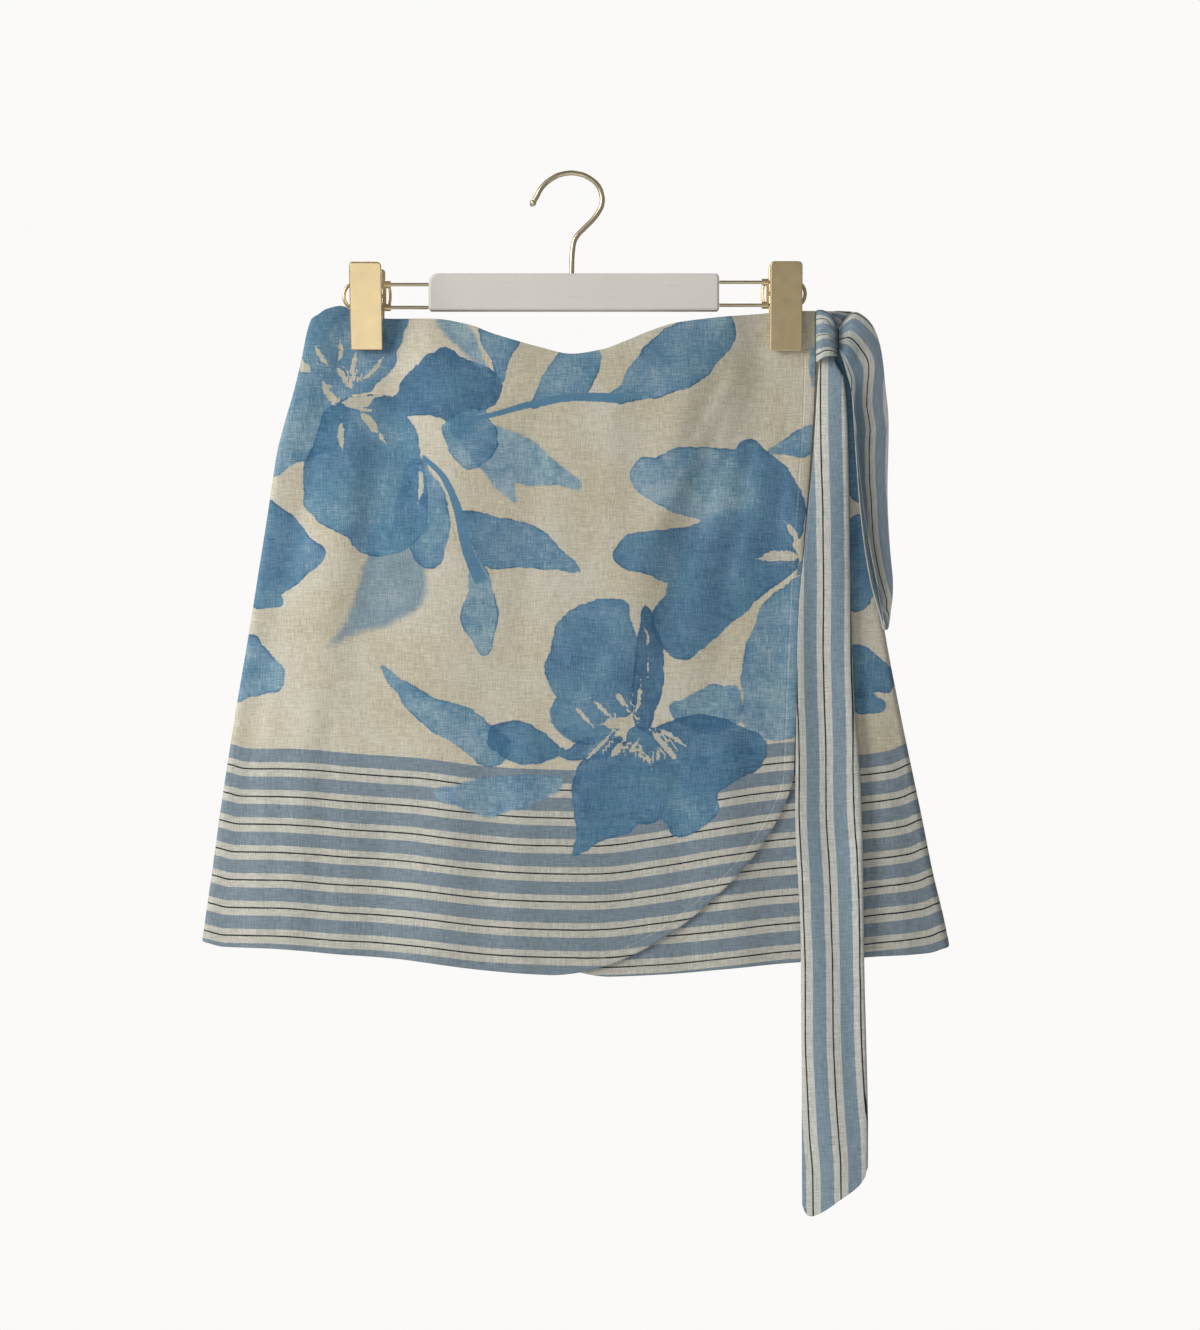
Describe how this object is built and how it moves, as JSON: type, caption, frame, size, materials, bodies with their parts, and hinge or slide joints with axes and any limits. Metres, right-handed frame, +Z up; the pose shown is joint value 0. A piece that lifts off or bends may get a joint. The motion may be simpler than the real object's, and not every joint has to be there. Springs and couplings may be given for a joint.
{
  "type": "wrap skirt on clip hanger",
  "caption": "Short linen wrap skirt with blue blooms, a striped hem border and a striped side tie in a bow, hanging from a white and gold clip hanger.",
  "frame": {"origin": "highest point of the inside of the hanger's hook, where a rail carries it", "axes": "+X to the right as seen from the front, towards the tie; +Y towards the back of the skirt; +Z up"},
  "size_m": [0.5079, 0.0522, 0.7085],
  "materials": {
    "print_linen": "matt printed linen",
    "stripe_linen": "matt striped linen",
    "gold_metal": "pale gold plating, satin",
    "painted_wood": "white paint, eggshell"
  },
  "bodies": {
    "root": {"back_panel": "print_linen", "under_panel": "print_linen", "over_panel": "print_linen", "tie_knot": "stripe_linen", "tie_loop": "stripe_linen", "tie_tail": "stripe_linen", "hanger_hook": "gold_metal", "hanger_bar": "painted_wood", "hanger_loop_left": "gold_metal", "hanger_loop_right": "gold_metal", "clip_left_front": "gold_metal", "clip_left_back": "gold_metal", "clip_left_spring": "gold_metal", "clip_right_front": "gold_metal", "clip_right_back": "gold_metal", "clip_right_spring": "gold_metal"}
  },
  "joints": []
}
